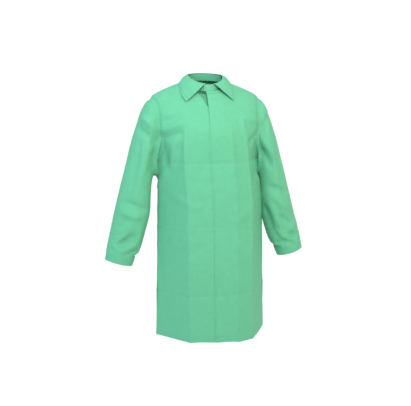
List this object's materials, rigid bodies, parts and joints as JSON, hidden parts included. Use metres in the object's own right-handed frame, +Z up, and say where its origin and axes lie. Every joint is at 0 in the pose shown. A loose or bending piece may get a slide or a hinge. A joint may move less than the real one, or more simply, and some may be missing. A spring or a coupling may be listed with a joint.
{
  "type": "lab coat",
  "caption": "Knee-length disposable non-woven lab coat with turn-down collar, lapped front, long sleeves and elastic cuffs.",
  "frame": {"origin": "centre of the neck opening, level with the side neck points, where a wearer's neck or a hanger holds the coat", "axes": "+Z up from the hem to the collar, -Y out of the coat's front, +X towards the wearer's left"},
  "size_m": [0.814, 0.331, 1.0251],
  "materials": {
    "nonwoven": "matte",
    "elastic": "matte",
    "hook_tape": "matte",
    "loop_tape": "matte"
  },
  "bodies": {
    "torso": {"back_panel": "nonwoven", "front_left_side": "nonwoven", "front_right_side": "nonwoven", "hook_patch_1": "hook_tape", "loop_patch_1": "loop_tape", "collar_stand": "nonwoven", "collar_leaf_back": "nonwoven"},
    "front_left": {"front_left_flap": "nonwoven", "loop_patch_2": "loop_tape", "loop_patch_3": "loop_tape", "loop_patch_4": "loop_tape"},
    "front_right": {"front_right_flap": "nonwoven", "hook_patch_2": "hook_tape", "hook_patch_3": "hook_tape", "hook_patch_4": "hook_tape"},
    "sleeve_left": {"sleeve_left_upper": "nonwoven"},
    "forearm_left": {"sleeve_left_lower": "nonwoven", "cuff_elastic_left": "elastic"},
    "sleeve_right": {"sleeve_right_upper": "nonwoven"},
    "forearm_right": {"sleeve_right_lower": "nonwoven", "cuff_elastic_right": "elastic"},
    "leaf_left": {"collar_leaf_left": "nonwoven"},
    "leaf_right": {"collar_leaf_right": "nonwoven"}
  },
  "joints": [
    {"name": "open_left", "type": "hinge", "parent": "torso", "child": "front_left", "pos_m": [0.066, -0.1505, -0.168], "axis": [-0.1326, -0.0121, 0.9911], "range_deg": [0, 75]},
    {"name": "open_right", "type": "hinge", "parent": "torso", "child": "front_right", "pos_m": [-0.066, -0.1505, -0.168], "axis": [-0.1326, 0.0121, -0.9911], "range_deg": [0, 27]},
    {"name": "raise_left", "type": "hinge", "parent": "torso", "child": "sleeve_left", "pos_m": [0.184, 0, -0.058], "axis": [0, -1, 0], "range_deg": [0, 60]},
    {"name": "raise_right", "type": "hinge", "parent": "torso", "child": "sleeve_right", "pos_m": [-0.184, 0, -0.058], "axis": [0, 1, 0], "range_deg": [0, 60]},
    {"name": "bend_left", "type": "hinge", "parent": "sleeve_left", "child": "forearm_left", "pos_m": [0.2972, -0.0497, -0.4827], "axis": [-0.9728, 0, -0.2315], "range_deg": [0, 60]},
    {"name": "bend_right", "type": "hinge", "parent": "sleeve_right", "child": "forearm_right", "pos_m": [-0.2972, -0.0497, -0.4827], "axis": [-0.9728, 0, 0.2315], "range_deg": [0, 60]},
    {"name": "turn_up_left", "type": "hinge", "parent": "torso", "child": "leaf_left", "pos_m": [0.0189, -0.0601, -0.0058], "axis": [-0.5489, -0.7568, -0.3549], "range_deg": [0, 80]},
    {"name": "turn_up_right", "type": "hinge", "parent": "torso", "child": "leaf_right", "pos_m": [-0.0189, -0.0601, -0.0058], "axis": [-0.5489, 0.7568, 0.3549], "range_deg": [0, 80]}
  ],
  "couplings": [
    {"joint": "open_right", "follows": "open_left", "ratio": 0.35}
  ]
}
